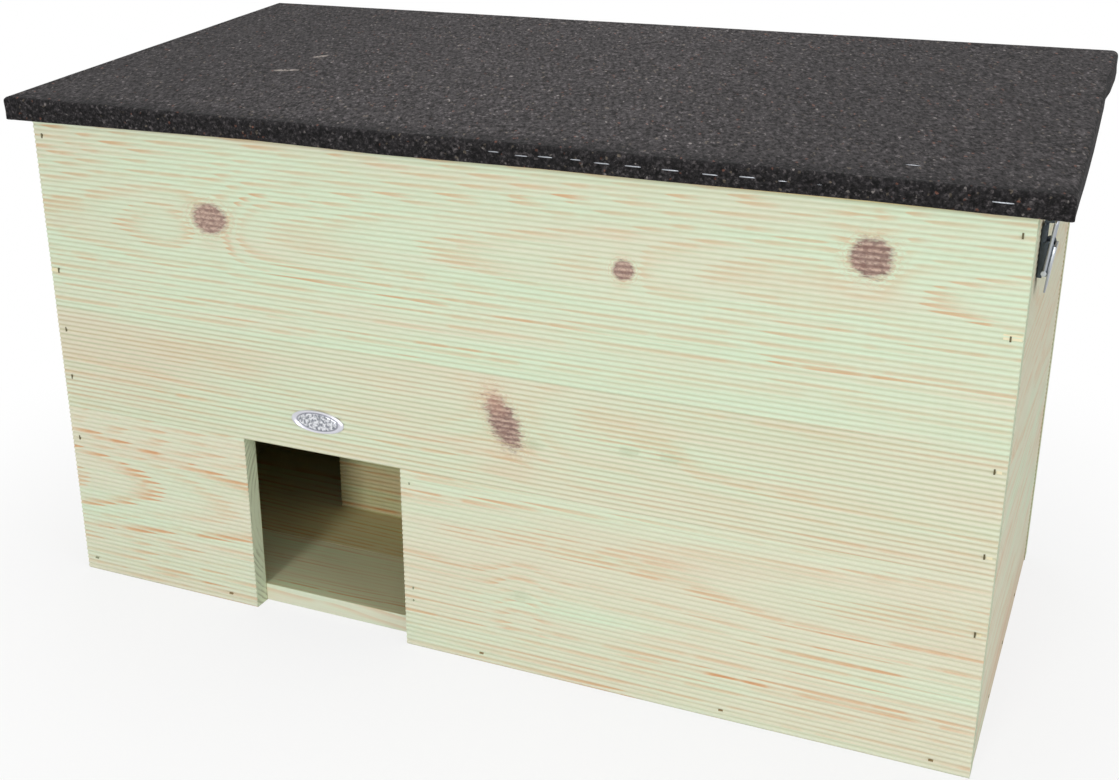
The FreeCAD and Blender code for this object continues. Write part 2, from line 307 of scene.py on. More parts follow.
# latewood: a thin dark line at the end of each year, uneven from ring to ring and from rib to rib; its weight
# is more in patches, and less for some years and between dashes
def latewoodLines(add, look, radius, rib, spot, patch):
    along, level = spot[:2]
    uneven = add("TexNoise", add("CombineXYZ", add("Math", radius, wood["years"], **over)), 1.0, 1.0)
    years = add("Math", uneven, wood["uneven"], add("Math", radius, look["spacing"], **over), **timesPlus)
    if look["ribbed"]:
        shaken = add("TexWhiteNoise", rib, noise_dimensions="1D")
        years = add("Math", shaken, wood["shaken"], years, **timesPlus)
    late = add("ValToRGB", add("Math", years, operation="FRACT"), stops=wood["late"])
    ringVary = add("TexWhiteNoise", add("Math", years, operation="FLOOR"), noise_dimensions="1D")
    ribApart, boardApart = wood["apart"]
    dash = add("CombineXYZ", add("Math", along, wood["dashes"], **over), add("Math", rib, ribApart, **times),
               look["seed"] * boardApart)
    dense = add("MapRange", patch, 0.36, 0.58, look["sparse"], 1.0, **smooth)
    lines = add("CombineXYZ", along, level)
    for middle, reach, gain in look["dense"]:  # places where the lines stand close
        dense = add("Math", bell(add, lines, middle, reach), gain, dense, **timesPlus)
    streak = add("Math", late, look["streaks"], **times)
    for weight in (dense, add("MapRange", ringVary, 0.0, 1.0, 0.4, 1.0, **smooth),
                   add("MapRange", add("TexNoise", dash, 1.0), 0.36, 0.52, 0.25, 1.0, **smooth)):
        streak = add("Math", streak, weight, **times)
    return late, streak


# ground colour: green and beige in long soft bands, with a blush and fine fibre
def groundColour(add, look, fields):
    bands = add("Math", fields["bands"], look["tone"], **plus)
    blush = add("Math", fields["blush"], look["flush"], **plus)
    colour = layer(add, pine["green"], pine["beige"], bands, 0.36, 0.66)
    colour = layer(add, colour, pine["pink"], blush, 0.45, 0.75, look["pink"])
    return layer(add, colour, pine["groove"], fields["fibre"], 0.35, 0.7, 0.14)


# knots laid over a colour: faint rings of bent grain stand round a plain one, and its own wood is mauve with
# grooves darkened by painted shade
def knotColour(add, colour, knots, fields, broad):
    for knot, distance in knots:
        core = pine[knot["colour"]]
        edge = add("Math", add("Math", fields["torn"], 0.5, **minus), knot["ragged"], distance, **timesPlus)
        if knot["dark"] > faintKnot:
            rings = add("Math", add("Math", edge, 3.4, **times), operation="FRACT")
            arcs = add("ValToRGB", rings, stops=wood["arcs"])
            rim = add("Math", arcs, add("MapRange", distance, 2.0, 1.0, 0.0, 0.55, **smooth), **times)
            colour = add("Mix", rim, colour, pine["rim"], **mixed)
            core = layer(add, pine["knot"], pine["knotDark"], fields["speckle"], 0.42, 0.62, knot["speckle"])
            for field, share in ((arcs, 0.3), (broad, knot["grooves"])):
                core = add("Mix", add("Math", field, share, **times), core, pine["knotDark"], **mixed)
        colour = layer(add, colour, core, edge, 1.2, knot["firm"], 0.92 * knot["dark"])
    return colour


# every colour follows fields of place: along and up the board and into it, in millimetres
def pineMaterial(name, look):
    material, add = newMaterial(name)
    space = add("TexCoord").outputs
    place, normal = [add("SeparateXYZ", space[kind]).outputs for kind in ("Object", "Normal")]
    axes = [("XYZ".index(axis), sign / mm, offset) for axis, sign, offset in look["axes"]]
    along, across, depth = [add("Math", place[axis], scale, offset, **timesPlus)
                            for axis, scale, offset in axes]
    cutEnd = add("MapRange", add("Math", normal[axes[0][0]], **absolute), 0.8, 0.95, **smooth)
    knots, near = knotDistances(add, look, add("CombineXYZ", along, across))
    # each groove carries one line of the pattern: heights from crest to crest are drawn to its middle,
    # though not round a knot, on a sawn end or inside
    turns = add("Math", across, 1 / ribs["pitch"], 0.5 + ribs["line"], **timesPlus)
    rib = add("Math", turns, operation="FLOOR")
    level, held, ribbed = across, 0.0, 0.0
    if look["ribbed"]:
        ribbed = add("MapRange", depth, 1.6, 1.2, **smooth)
        clear = add("Math", 1.0, add("Math", cutEnd, near, operation="MAXIMUM"), **minus)
        held = add("Math", ribbed, clear, **times)
        middle = add("Math", rib, ribs["pitch"], -ribs["line"] * ribs["pitch"], **timesPlus)
        pull = add("Math", held, wood["pull"], **times)
        level = add("Math", add("Math", middle, across, **minus), pull, across, **timesPlus)
    spot = (along, level, depth)
    shift = [look["seed"] * step for step in wood["steps"]]
    drawn, whole = [add("VectorMath", add("CombineXYZ", along, height, depth), shift, **plus)
                    for height in (level, across)]
    fields = {}
    for kind, (sizes, detail, roughness) in grain.items():
        scaled = add("VectorMath", whole if kind in wood["fine"] else drawn, sizes, **over)
        fields[kind] = add("TexNoise", scaled, 1.0, detail, roughness)
    drift = add("SeparateXYZ", fields["drift"].outputs["Color"]).outputs
    radius = growthRings(add, look, knots, drift, spot)
    late, streak = latewoodLines(add, look, radius, rib, spot, fields["patch"])
    colour = groundColour(add, look, fields)
    broad = 0.0
    if look["ribbed"]:  # the grooves are darker: partly stain, brown in places, and partly painted shade
        inGroove = add("Math", add("Math", across, ribs["pitch"], **over), 0.5, operation="PINGPONG")
        groove = add("Math", add("MapRange", inGroove, 0.38, 0.0, **smooth), ribbed, **times)
        broad = add("Math", groove, 0.45, operation="POWER")
        stain = layer(add, pine["groove"], pine["brown"], fields["stain"], 0.44, 0.68, look["brown"])
        colour = add("Mix", add("Math", groove, look["grooves"], **times), colour, stain, **mixed)
        # a dash lies along its groove and fades on the crests beside it
        onLine = add("Math", turns, 0.5, operation="PINGPONG")
        fade = add("MapRange", onLine, 0.38, 0.04, 0.0, -0.72, **smooth)
        kept = add("Math", fade, held, add("MapRange", ribbed, 0.0, 1.0, 0.5, 1.0, **smooth), **timesPlus)
        streak = add("Math", streak, kept, **times)
    colour = add("Mix", streak, colour, pine["latewood"], **mixed)
    darkest = add("Math", add("Math", streak, 3.0, operation="POWER"), 0.3, **times)
    colour = add("Mix", darkest, colour, pine["dark"], **mixed)
    colour = knotColour(add, colour, knots, fields, broad)
    # sawn ends drink more of the salts, and are hatched by the rings
    hatch = add("Math", late, add("MapRange", fields["hatch"], 0.42, 0.6, 0.1, 0.85, **smooth), **times)
    sawn = add("Mix", hatch, pine["endGrain"], pine["endRing"], **mixed)
    colour = add("Mix", add("Math", cutEnd, 0.85, **times), colour, sawn, **mixed)
    if not look["tint"]:  # the planed backs face the dark inside, and are darkened by a painted shade
        shadedBack = add("MapRange", depth, house["board"] - 0.6, house["board"] - 0.2, **smooth)
        colour = add("Mix", shadedBack, colour, pine["inside"], **multiplied)
    else:  # boards inside take a tint, the floor and the lid board only on their flat faces
        lying = 1.0
        if look["axes"][2][0] == "Z":
            lying = add("MapRange", add("Math", normal[2], **absolute), 0.4, 0.8, **smooth)
        colour = add("Mix", lying, colour, linear(look["tint"]), **multiplied)
    bump = add("Bump", named={"Height": fields["fibre"], "Strength": 0.25, "Distance": wood["relief"] * mm})
    return setSurface(material, {"Base Color": colour, "Roughness": wood["rough"],
                                 "Specular IOR Level": wood["shine"], "Normal": bump})


# the knots that the front shows, along and up it, with their size
frontKnots = {
    "front_top_board": [
        {"at": (-170, 260), "size": (24, 18), "push": 4.0, "speckle": 0.55, "grooves": 0.4},
        {"at": (92, 260), "size": (12, 11), "push": 2.5, "speckle": 0.45},
        {"at": (221, 282), "size": (21, 20), "push": 3.5, "speckle": 0.65, "grooves": 0.75, "ragged": 1.0}],
    "front_middle_board": [
        {"at": (21, 162), "size": (37, 19), "tilt": 118, "push": 4.0, "speckle": 0.7, "grooves": 0.7,
         "ragged": 1.5, "firm": 0.6},
        {"at": (15, 175), "size": (26, 16), "tilt": 118, "dark": 0.28, "push": 0.0, "colour": "blush",
         "firm": 0.2},
        {"at": (24, 131), "size": (46, 14), "dark": 0.16, "push": 0.0, "colour": "blush", "firm": 0.2},
        {"at": (40, 151), "size": (14, 8), "dark": 0.3, "push": 0.0, "ragged": 1.5, "firm": 0.3},
        {"at": (97, 157), "size": (13, 7), "dark": 0.3, "push": 1.0, "ragged": 1.8, "firm": 0.3},
        {"at": (121, 157), "size": (15, 8), "dark": 0.28, "push": 1.0, "ragged": 1.8, "firm": 0.3}],
    "front_lower_right_board": [
        {"at": (31, 52), "size": (18, 10), "dark": 0.28, "push": 3.0, "ragged": 1.2, "firm": 0.2}],
}
# for each facing, the axes along, up and into its boards, each with a sign and an offset
porch = {"side": 47.5, "back": 129.5}
facings = {
    "front": (("X", 1, 0.0), ("Z", 1, 0.0), ("Y", 1, -house["front"])),
    "back": (("X", -1, 0.0), ("Z", 1, 0.0), ("Y", -1, house["back"])),
    "right": (("Y", 1, 0.0), ("Z", 1, 0.0), ("X", -1, house["halfWidth"])),
    "left": (("Y", -1, 0.0), ("Z", 1, 0.0), ("X", 1, house["halfWidth"])),
    "flat": (("X", 1, 0.0), ("Y", 1, 0.0), ("Z", -1, house["board"])),
    "porchSide": (("Y", -1, 0.0), ("Z", 1, 0.0), ("X", 1, porch["side"])),
    "porchBack": (("X", 1, 0.0), ("Z", 1, 0.0), ("Y", 1, -house["front"] - porch["back"])),
}
# how the front's boards differ: tone leans to beige, taper shortens the dashes, brown and grooves are the
# stain and painted shade in the grooves, sparse the weight of lines at large, and dense gathers them: place,
# reach and gain
boardTones = {
    "front_top_board": {
        "tone": -0.05, "pink": 0.20, "taper": 0.034, "streaks": 0.64, "brown": 0.3, "grooves": 0.55,
        "dense": [((-265, 245), (55, 45), 0.4), ((-70, 298), (120, 14), 0.3), ((210, 265), (80, 30), 0.2)]},
    "front_middle_board": {
        "tone": 0.07, "taper": 0.014, "streaks": 0.38, "brown": 0.5, "grooves": 0.72,
        "dense": [((-220, 150), (90, 25), 0.4), ((60, 165), (120, 12), 0.5), ((220, 150), (80, 25), 0.6)]},
    "front_lower_left_board": {
        "tone": 0.07, "pink": 0.30, "taper": -0.062, "streaks": 0.66, "grooves": 0.38, "sparse": 1.0,
        "pith": (62.0, 72.0), "dense": [((-230, 95), (80, 25), 0.3), ((-220, 25), (90, 22), 0.3)]},
    "front_lower_right_board": {
        "tone": 0.09, "taper": 0.007, "streaks": 0.54, "grooves": 0.38,
        "dense": [((110, 18), (150, 22), 0.8), ((10, 108), (60, 10), 0.5), ((230, 60), (70, 45), 0.8)]},
}
plainLook = {"ribbed": True, "streaks": 0.55, "pink": 0.40, "brown": 0.4, "grooves": 0.45, "sparse": 0.4,
             "flush": 0.0, "dense": [], "knots": [], "tint": None}


# each board is its own piece of a tree: where its pith lay, how its rings lean, and its knots
def boardLook(node, facing, index):
    rng = np.random.default_rng(40 + index)
    low, high = boxOf(node)
    run, up = ("XYZ".index(facings[facing][i][0]) for i in (0, 1))
    middle = (low[up] + high[up]) / 2
    knots = list(frontKnots.get(node, []))
    if node.startswith(("back", "left")):
        for share in rng.uniform(0.12, 0.88, rng.integers(1, 3)):
            wide = rng.uniform(10, 20)
            at = (facings[facing][0][1] * (low[run] + share * (high[run] - low[run])),
                  middle + rng.uniform(-35, 35))
            knots.append({"at": at, "size": (wide * rng.uniform(1.0, 1.5), wide), "push": 0.6 * wide})
    look = {**plainLook, "axes": facings[facing], "seed": float(index + 1), "knots": knots,
            "pith": (middle + rng.uniform(-30, 30), rng.uniform(60, 95)), "swerve": rng.uniform(-0.03, 0.03),
            "taper": rng.choice([-1, 1]) * rng.uniform(0.010, 0.035), "spacing": rng.uniform(2.6, 3.4),
            "tone": rng.uniform(0.0, 0.1)}
    look.update(boardTones.get(node, {}))
    if node.startswith("right"):
        look.update(tone=0.14, pink=0.35, streaks=0.55)
        if "lower" in node:
            look.update(pink=1.0, flush=0.06, streaks=0.7, brown=0.8)
    if node.startswith("porch"):
        look.update(tint="#e8dcc0", streaks=0.8, sparse=0.7)
    if node.startswith("floor"):  # three lengths of one plank, so alike
        look.update(tint="#fafae6", streaks=0.7, pink=0.2, ribbed=False, spacing=3.6, seed=21.0,
                    pith=(40.0, 75.0), taper=0.012)
        if "front" not in node:
            look.update(tint="#f1e8c6", streaks=0.95, sparse=0.7)
    return look


# across a board: height up it and depth behind the crests, rounded ribs with narrow grooves between
def ribProfile(height):
    count = int(math.ceil(height / ribs["pitch"] - 0.001))
    share = np.array([0.0, 0.06, 0.12, 0.19, 0.27, 0.38, 0.5, 0.62, 0.73, 0.81, 0.88, 0.94])
    away = np.abs(share - 0.5) * 2
    rise = np.clip((away - ribs["shoulder"]) / (1 - ribs["shoulder"]), 0, 1)
    deep = ribs["depth"] * rise * rise * (3 - 2 * rise)
    up = (np.arange(count)[:, None] + share[None, :]).ravel() * ribs["pitch"]
    return np.append(up, count * ribs["pitch"]), np.append(np.tile(deep, count), ribs["depth"])


# the rib profile carried along the board, bowed a little; a top board is sawn off along the lid's slope
def ribbedBoard(node, facing, index, stations):
    low, high = boxOf(node)
    runAxis, upAxis, inAxis = ("XYZ".index(axis) for axis, sign, offset in facings[facing])
    inward = facings[facing][2][1]
    up, deep = ribProfile(high[2] - low[2])
    up = np.clip(up, ribs["seam"], up[-1] - ribs["seam"])
    up = np.append(up, [up[-1], up[0]])
    deep = np.append(deep, [house["board"], house["board"]])
    along = np.linspace(low[runAxis], high[runAxis], stations)
    bow = wobble(along, index, ribs["waves"]) + ribs["sunk"]
    points = np.zeros((stations, len(up), 3))
    points[..., runAxis] = along[:, None]
    points[..., upAxis] = low[2] + up[None, :]
    points[..., inAxis] = deep[None, :] + np.where(deep < house["board"], bow[:, None], 0)
    points[..., inAxis] = (low[inAxis] if inward > 0 else high[inAxis]) + inward * points[..., inAxis]
    shell = points.reshape(-1, 3) * mm, closedFaces(stations, len(up))
    look = pineMaterial("treated_pine_" + node, boardLook(node, facing, index))
    plane = (Vector((0, house["front"], house["frontHeight"])) * mm, (0, -slopeSin, slopeCos))
    makePiece(node + "_ribbed", shell, look, "house", node, 50.0,
              saw=plane if "_top_" in node else None)


rows = ("lower", "middle", "top")
ribbedBoards = [("front_lower_left_board", "front", 40), ("front_lower_right_board", "front", 60),
                ("front_middle_board", "front", 80), ("front_top_board", "front", 80)]
ribbedBoards += [("%s_side_%s_board" % (side, row), side, 40) for side in ("right", "left") for row in rows]
ribbedBoards += [("back_%s_board" % row, "back", 60) for row in rows]
ribbedBoards += [("porch_%s_%s_board" % (wall.lower(), row), "porch" + wall, 20)
                 for wall in ("Side", "Back") for row in ("lower", "upper")]
for index, (node, facing, stations) in enumerate(ribbedBoards):
    ribbedBoard(node, facing, index, stations)
print("boards made:", len(ribbedBoards))

floorBoards = {"first": 20, "eased": 0.5}  # the boards' first seed, and how far their edges are eased
for index, place in enumerate(("front", "middle", "rear")):
    node = "floor_%s_board" % place
    points, faces = block(*boxOf(node))
    look = pineMaterial("planed_pine_" + node, boardLook(node, "flat", floorBoards["first"] + index))
    makePiece(node + "_planed", (points * mm, faces), look, "house", node, 20.0,
              floorBoards["eased"])
print("floor made")

# roofing felt: black bitumen with crushed mineral pressed into it, paler on top, a few grains tan, rust or
# pale; places on it are measured on the flat lid, along it and up its slope
felt = {"front": -4.5, "back": 298.118, "half": 312.7, "panel": 12.0, "thick": 1.5, "fold": 3.2, "seat": 0.3,
        "inset": 0.35, "cut": (0.652, 0.329),
        "corners": (1.6, 6.0, 3.0, 1.2),  # plan radii: front right, back right, back left, front left
        # the hem's height above the lid's underside along the front, as it was cut by hand
        "hem": [(-313, -0.9), (-290, -0.7), (-218, 0.3), (-134, 1.4), (-55, 0.4), (46, 1.4), (112, 1.2),
                (219, 1.8), (276, 1.1)],
        # how far the right-hand edge is drawn in, from the front to the rolled back corner
        "drawnIn": [(-5, 0.7), (55, 0.7), (113, 1.0), (173, 2.0), (200, 2.4), (222, 3.1), (240, 1.6),
                    (271, 0.9), (290, 1.2)],
        # the corner laps' width and thickness, the waves along the edge and the hem, and how far they fade in
        "lap": (5.4, 0.45), "swell": [(190.0, 0.14), (91.0, 0.10), (37.0, 0.05)],
        "slack": [(197, 0.4), (81, 0.2)], "border": 8.0}
# its look: sizes of grains, grit, painted relief shade, clouds and scratches in millimetres, which way the
# grains are rolled and how long, where the front fold's painted shade fades, and the share of grains up to
# each rare colour
mineral = {"grain": 1.25, "grit": 0.526316, "reliefShade": 2.38095, "cloud": 26.3158, "scratch": 2.0,
           "rolled": ((0.922, 0.386), 1.9), "foldShade": (-2.0, 24.0), "scuff": "#b0a79f",
           # place, length, width and turn
           "scuffs": [((-179, 104), 21, 6.0, 20), ((-178, 144), 14, 6.0, 48)],
           "greys": [(0.0, "#0b0a0b"), (0.4, "#161516"), (0.72, "#232122"), (0.94, "#393637"),
                     (1.0, "#524e4e")],
           "gritGreys": [(0.0, "#0f0e0f"), (0.6, "#1c1b1c"), (0.95, "#353233"), (1.0, "#4c4848")],
           "rare": [(0.025, "#5a5654"), (0.0196, "#4c332b"), (0.0118, "#453f38")],
           "reliefShades": [(0.35, 0.12), (0.5, 0.95), (0.66, 1.85)], "paledTop": (1.47, 1.47, 1.47, 1.0),
           "dust": "#2b2929", "rough": 0.85, "shine": 0.18, "relief": 0.6}


# from the flat lid, millimetres up the slope and off the underside, to the part's frame in metres
def onLid(points):
    x, y, z = np.moveaxis(np.asarray(points, float), -1, 0)
    return np.stack([x, house["front"] + y * slopeCos - z * slopeSin,
                     house["frontHeight"] + felt["seat"] + y * slopeSin + z * slopeCos], -1) * mm


def feltMaterial():
    material, add = newMaterial("mineral_roofing_felt")
    space = add("TexCoord").outputs
    place = space["Object"]
    x, y, z = add("SeparateXYZ", place).outputs
    # grains are rolled out along the sheet, which lies askew
    (runX, runY), long = mineral["rolled"]
    laid = add("CombineXYZ", add("VectorMath", place, (runX, runY, 0), **dot),
               add("VectorMath", place, (-runY / long, runX / long, 0), **dot), z)
    grains, grit = [add("TexVoronoi", laid, 1 / (mineral[kind] * mm)) for kind in ("grain", "grit")]
    tone, gritTone = [add("SeparateXYZ", cells.outputs["Color"]).outputs for cells in (grains, grit)]
    greys, gritGreys = [[(stop, linear(code)) for stop, code in mineral[key]]
                        for key in ("greys", "gritGreys")]
    colour = add("Mix", 0.35, add("ValToRGB", tone[0], stops=greys),
                 add("ValToRGB", gritTone[0], stops=gritGreys), **mixed)
    for share, code in mineral["rare"]:
        colour = add("Mix", add("Math", tone[1], share, operation="LESS_THAN"), colour, linear(code), **mixed)
    cloud = add("TexNoise", place, 1 / (mineral["cloud"] * mm), 3.0, 0.6)
    colour = add("Mix", 1.0, colour, add("MapRange", cloud, 0.3, 0.7, 0.99, 1.23), **multiplied)
    # the top is paler than the turned-down edges, which keep their black, and has a dusty grey added; a
    # painted shade darkens it along the front fold, and a painted highlight makes it palest in its middle,
    # darker to its ends
    edge = add("Math", y, 1 / mm, -house["front"] - felt["front"], **timesPlus)
    upward = add("MapRange", add("SeparateXYZ", space["Normal"]).outputs[2], 0.55, 1.0, **smooth)
    # painted shade along the front fold: the paling fades in over the top's first 24 mm from the front edge
    paleShare = add("Math", upward, add("MapRange", edge, *mineral["foldShade"], **smooth), **times)
    paledTop = add("Mix", 1.0, colour, mineral["paledTop"], **multiplied)
    paledTop = add("Mix", 1.0, paledTop, linear(mineral["dust"]), data_type="RGBA", blend_type="ADD")
    # painted highlight in the middle of the top, darker towards its ends
    aside = add("Math", add("Math", x, 1 / mm, 20.0, **timesPlus), **absolute)
    paledTop = add("Mix", 1.0, paledTop, add("MapRange", aside, 60.0, 230.0, 1.08, 0.86, **smooth), **multiplied)
    colour = add("Mix", paleShare, colour, paledTop, **mixed)
    # painted shade and highlight of the granules' relief, in clumps a few grains wide
    reliefShade = add("TexNoise", laid, 1 / (mineral["reliefShade"] * mm), 2.0, 0.7)
    colour = add("Mix", 1.0, colour, add("ValToRGB", reliefShade, stops=mineral["reliefShades"]), **multiplied)
    scratch = add("TexNoise", laid, 1 / (mineral["scratch"] * mm))
    for at, length, width, turn in mineral["scuffs"]:
        middle = tuple(onLid((*at, felt["panel"] + felt["thick"])))
        away = ellipse(add, place, middle, (length * mm / 2, width * mm / 2, 1), turn)
        scraped = add("Math", add("MapRange", away, 1.1, 0.4, 0.0, 0.9, **smooth),
                      add("MapRange", scratch, 0.32, 0.55, **smooth), **times)
        colour = add("Mix", scraped, colour, linear(mineral["scuff"]), **mixed)
    height = add("Math", grains, -1.0, add("Math", grit, -0.5, **times), **timesPlus)
    bump = add("Bump", named={"Height": height, "Strength": 0.55, "Distance": mineral["relief"] * mm})
    return setSurface(material, {"Base Color": colour, "Roughness": mineral["rough"],
                                 "Specular IOR Level": mineral["shine"], "Normal": bump})


# a rounded rectangle round the felt at an inset from its edge, from the front's left end to the right and
# on round; points stand closer at the ends of each side
def ringOf(inset, counts):
    wide, deep, bend = counts
    half = felt["half"] - felt["inset"] - inset
    front, back = felt["front"] + felt["inset"] + inset, felt["back"] - felt["inset"] - inset
    frontRight, backRight, backLeft, frontLeft = [max(radius - inset, 0.02) for radius in felt["corners"]]
    turn = np.linspace(0, math.pi / 2, bend + 2)[1:-1]
    close = np.array([0.004, 0.007, 0.008, 0.009])

    def line(a, b, count):
        share = np.sort(np.concatenate([np.linspace(0, 1, count - 2 * len(close)), close, 1 - close]))
        return share[:, None] * (np.array(b) - np.array(a)) + np.array(a)

    def corner(x, y, radius, start):
        return np.stack([x + radius * np.cos(start + turn), y + radius * np.sin(start + turn)], 1)

    return np.concatenate([
        line((-half + frontLeft, front), (half - frontRight, front), wide),
        corner(half - frontRight, front + frontRight, frontRight, -math.pi / 2),
        line((half, front + frontRight), (half, back - backRight), deep),
        corner(half - backRight, back - backRight, backRight, 0),
        line((half - backRight, back), (-half + backLeft, back), wide),
        corner(-half + backLeft, back - backLeft, backLeft, math.pi / 2),
        line((-half, back - backLeft), (-half, front + frontLeft), deep),
        corner(-half + frontLeft, front + frontLeft, frontLeft, math.pi)])


# how far the turned-down edge swells out, along the rectangle from the front's left end
def feltSwell(along):
    return wobble(along, 4, felt["swell"]) - 0.2


# rings of the rounded rectangle go up the turned-down edge, over the fold and in across the top; each is
# moved by the hem's height, a slight swell, the drawn-in right side and a lap at each front corner, and the
# top sags a little in waves
def feltSheet():
    wide, deep, bend = counts = (168, 90, 7)  # points along the front, along a side and round a corner
    fold, thick = felt["fold"], felt["thick"]
    top = felt["panel"] + thick
    turn = np.linspace(0, math.pi / 2, 9)[1:]
    profile = [(thick, 2.6), (thick, 0.3), (thick * 0.5, 0.0)]
    profile += [(0.0, z) for z in (0.4, 1.6, 3.2, 5.0, 7.0, 8.6, top - fold)]
    profile += [(fold * (1 - math.cos(angle)), top - fold + fold * math.sin(angle)) for angle in turn]
    profile += [(inset, top) for inset in (5, 7, 9.5, 12.5, 16, 20, 25, 31, 38, 46, 55, 65, 76, 88, 101,
                                           115, 130, 150.2)]
    edge = ringOf(0, counts)
    along = np.concatenate([[0], np.cumsum(np.linalg.norm(np.diff(edge, axis=0), axis=1))])
    half, border = felt["half"], felt["border"]
    frontness = np.clip(1 - (edge[:, 1] - felt["front"]) / border, 0, 1)
    rightness = np.clip(1 - (half - edge[:, 0]) / border, 0, 1)
    elsewhere = 0.5 + wobble(along, 3, felt["slack"])
    hem = frontness * np.interp(edge[:, 0], *zip(*felt["hem"])) + (1 - frontness) * elsewhere
    swell = feltSwell(along)
    drawn = rightness * np.interp(edge[:, 1], *zip(*felt["drawnIn"]))
    lapWide, lapThick = felt["lap"]
    lapped = frontness * (np.abs(edge[:, 0]) > half - lapWide) * lapThick
    rings = []
    for inset, z in profile:
        flat = ringOf(inset, counts)
        inner = np.clip(flat, [border - half, felt["front"] + border], [half - border, felt["back"] - border])
        away = flat - inner
        length = np.linalg.norm(away, axis=1, keepdims=True)
        away = np.where(length > 1e-6, away / np.maximum(length, 1e-6), 0)
        side = math.exp(-(inset / 6.0) ** 2)
        out = side * (swell * np.clip(z / 4, 0.2, 1) + lapped * (z < top - 1) * (inset < 2))
        x, y = (flat + away * out[:, None]).T
        x = x - drawn * math.exp(-inset / 10.0)
        waves = np.sin(x / 41 + 0.4 * np.sin(y / 37)) + np.sin(y / 29 + x / 97) + np.sin(x / 23 - y / 53)
        sag = (1 - side) * (0.16 * waves - 0.35) - 0.12 * (z >= top)
        height = z + np.clip(1 - z / 6, 0, 1) * hem + sag
        rings.append(np.stack([x, y, height], 1))
    cols = len(edge)
    last = (len(rings) - 1) * cols + np.arange(cols)
    turned = wide + bend + deep + bend
    front, back = last[:wide], last[turned:turned + wide][::-1]
    middle = np.stack([front[:-1], front[1:], back[1:], back[:-1]], 1).tolist()
    ends = [last[wide - 1:turned + 1].tolist(), [*last[turned + wide - 1:].tolist(), int(last[0])]]
    shell = onLid(rings).reshape(-1, 3), ringFaces(len(rings), cols) + middle + ends
    piece = makePiece("felt_cover", shell, feltMaterial(), "lid", "roofing_felt", 60.0)


# lid board under the felt, seen from below when the lid is up, with eased edges for the felt to fold over
lidBoard = {"eased": [(2.6, 0.0), (0.0, 2.6), (0.0, 7.0), (0.5, 9.2), (1.6, 10.8), (3.4, 11.7),
                      (5.5, 11.9)], "narrower": 3.6, "room": 0.5,
            "look": {**plainLook, "axes": facings["flat"], "seed": 31.0, "ribbed": False,
                     "pith": (-250.0, 150.0), "swerve": 0.0, "taper": 0.012, "spacing": 6.0,
                     "streaks": 0.42, "pink": 0.8, "tone": 0.2, "sparse": 0.5, "tint": "#f3dfbc"}}


# rectangles up the eased edge, each with its own inset
def makeLidBoard():
    inset, height = np.array(lidBoard["eased"]).T
    inset = inset + felt["thick"] + lidBoard["room"]
    left, right = -felt["half"] + inset, felt["half"] - lidBoard["narrower"] - inset
    front, back = felt["front"] + inset, felt["back"] - inset
    corners = [(left, front), (right, front), (right, back), (left, back)]
    grid = np.stack([np.stack([x, y, height], -1) for x, y in corners], 1)
    shell = onLid(grid).reshape(-1, 3), closedFaces(len(inset), len(corners))
    makePiece("lid_board", shell, pineMaterial("lid_pine", lidBoard["look"]), "lid",
              "roof_panel", 25.0)


makeLidBoard()
feltSheet()
print("felt and lid board made")

zinc = {"cloud": 2.38095}  # size of the clouds in millimetres


# zinc: a thin plate on pressed steel, clouded a little; on the latches a paler copy is a painted highlight,
# and a dark copy is dark zinc with painted shade
def zincMaterial(name, colour, roughness, cloudy="#8d9294"):
    material, add = newMaterial(name)
    cloud = add("TexNoise", add("TexCoord").outputs["Object"], 1 / (zinc["cloud"] * mm), 3.0, 0.6)
    shade = layer(add, linear(colour), linear(cloudy), cloud, 0.3, 0.7, 0.3)
    dull = add("MapRange", cloud, 0.25, 0.75, roughness - 0.06, roughness + 0.1, **smooth)
    return setSurface(material, {"Base Color": shade, "Roughness": dull, "Metallic": 1.0})


brightZinc = zincMaterial("bright_zinc_plate", "#c9cdd0", 0.26)
highlightZinc = zincMaterial("highlight_zinc_plate", "#a6aab0", 0.38)
darkShadedZinc = zincMaterial("dark_shaded_zinc_plate", "#545b62", 0.5, "#3c4347")
# the latches take the dark zinc with its painted shade, the hinges bright zinc
for node in nodes:
    if any(word in node for word in ("hinge", "latch")):
        nodes[node].data.materials.clear()
        nodes[node].data.materials.append(darkShadedZinc if "latch" in node else brightZinc)

# toggle latches, drawn off the wall, across and up from the lever's pivot, and mirrored on the left
latch = {"pivot": 4.0, "tip": (3.4, -13.1), "tipRadius": 2.1, "pinRadius": 2.6, "corner": (7.7, 0.0),
         "sheet": 1.0, "web": 1.2, "webOff": 0.5, "outer": 6.2, "brim": 6.35, "lip": 10.2, "lipTurn": 0.3,
         "wire": 0.9, "legs": 7.4, "inner": 4.9, "foot": 1.2, "head": 2.2, "length": 26.77,
         "lean": math.radians(6.4347), "rivet": 1.35, "rivetEnds": (0.6, 1.1, 1.35), "base": (-16.4, 10.0),
         "plate": 1.0, "flange": (4.2, 5.0, 2.4), "ear": 2.2, "earFoot": 0.2, "apart": 0.06, "highlightFrom": -2.4,
         "screws": (-11.3, 6.6), "leverEdge": 0.18, "baseEdge": 0.15}
joints = frame["record"]["behaviour"]["joints"]
jointPlaces = {joint["name"]: np.array(joint["pos_m"]) / mm for joint in joints}
signs = {"left": -1, "right": 1}


# from a latch's own millimetres to the part's frame in metres
def onWall(side, points):
    x, y, z = np.asarray(points).T
    pivot = jointPlaces[side + "_lever_swing"]
    return np.stack([signs[side] * (house["halfWidth"] + x), pivot[1] + y, pivot[2] + z], 1) * mm


